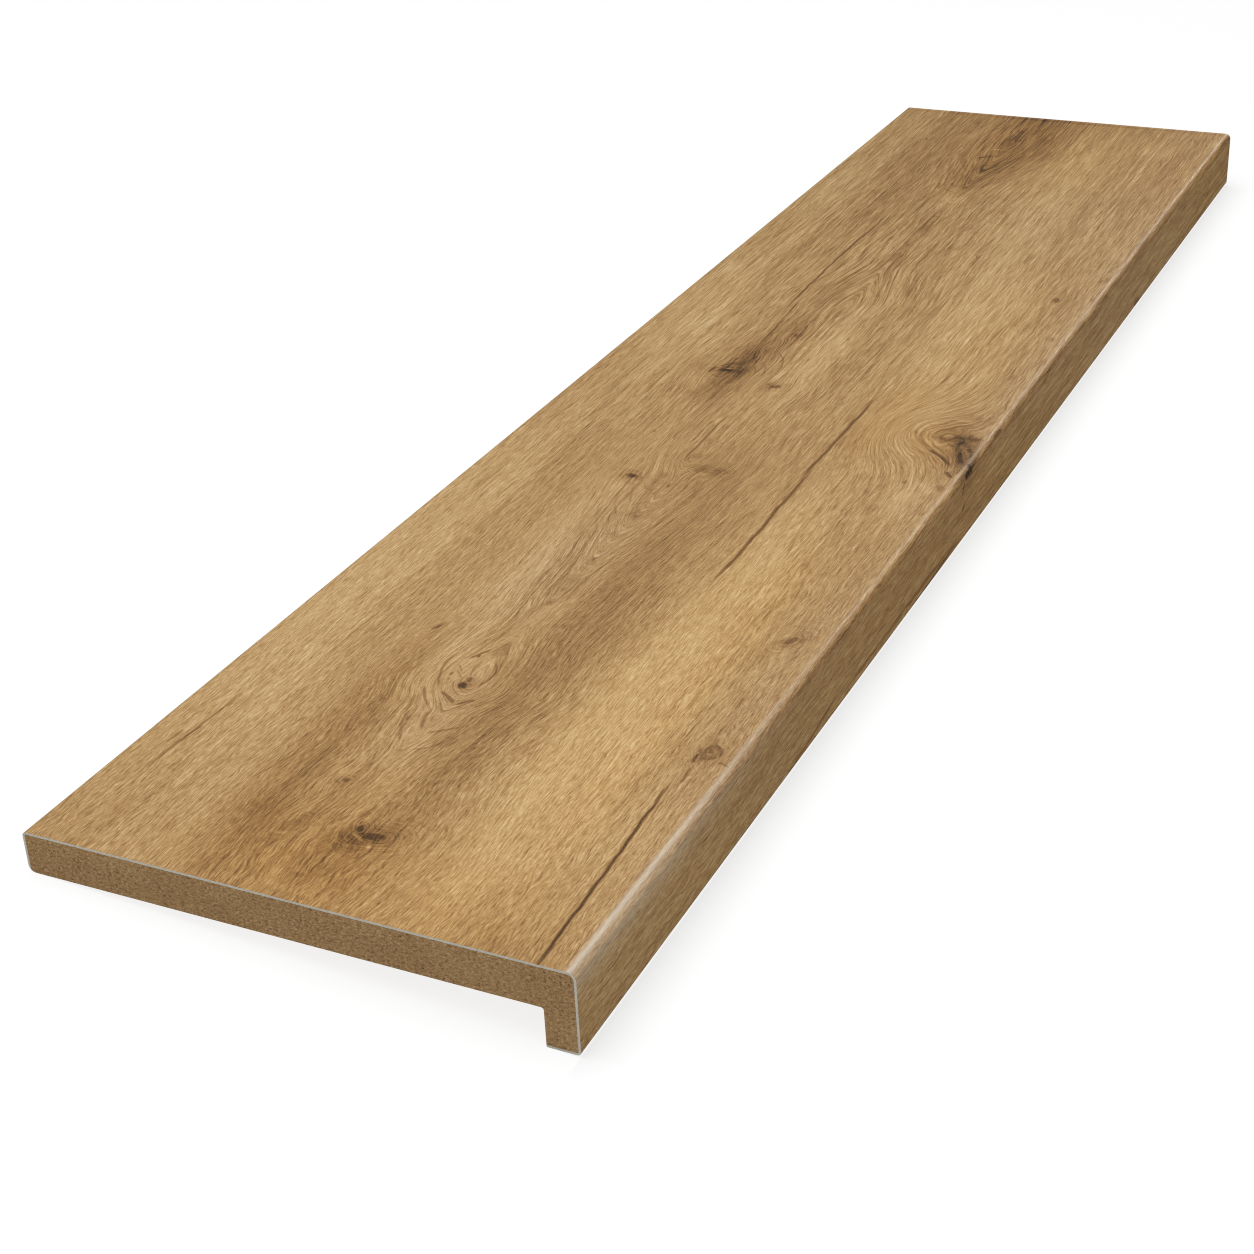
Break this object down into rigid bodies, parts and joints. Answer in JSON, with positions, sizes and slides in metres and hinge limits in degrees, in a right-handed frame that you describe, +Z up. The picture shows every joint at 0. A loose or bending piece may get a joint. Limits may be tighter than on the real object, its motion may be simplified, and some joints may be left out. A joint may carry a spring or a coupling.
{
  "type": "stair tread",
  "caption": "Laminate stair tread: an L-section MDF board with a turned-down nose, wrapped in an oak-look decor laminate.",
  "frame": {"origin": "under the middle of the tread, level with the bottom of the lip", "axes": "+X along the step, -Y towards the front of the nose, +Z up out of the walking face"},
  "size_m": [1.3, 0.3, 0.045],
  "materials": {
    "fibreboard": "bare medium-density fibreboard, sawn ends and milled faces",
    "oak_laminate": "satin decor laminate with a knotty oak figure, grey-white where it is cut"
  },
  "bodies": {
    "root": {"mdf_core": "fibreboard", "laminate_skin": "oak_laminate"}
  },
  "joints": []
}
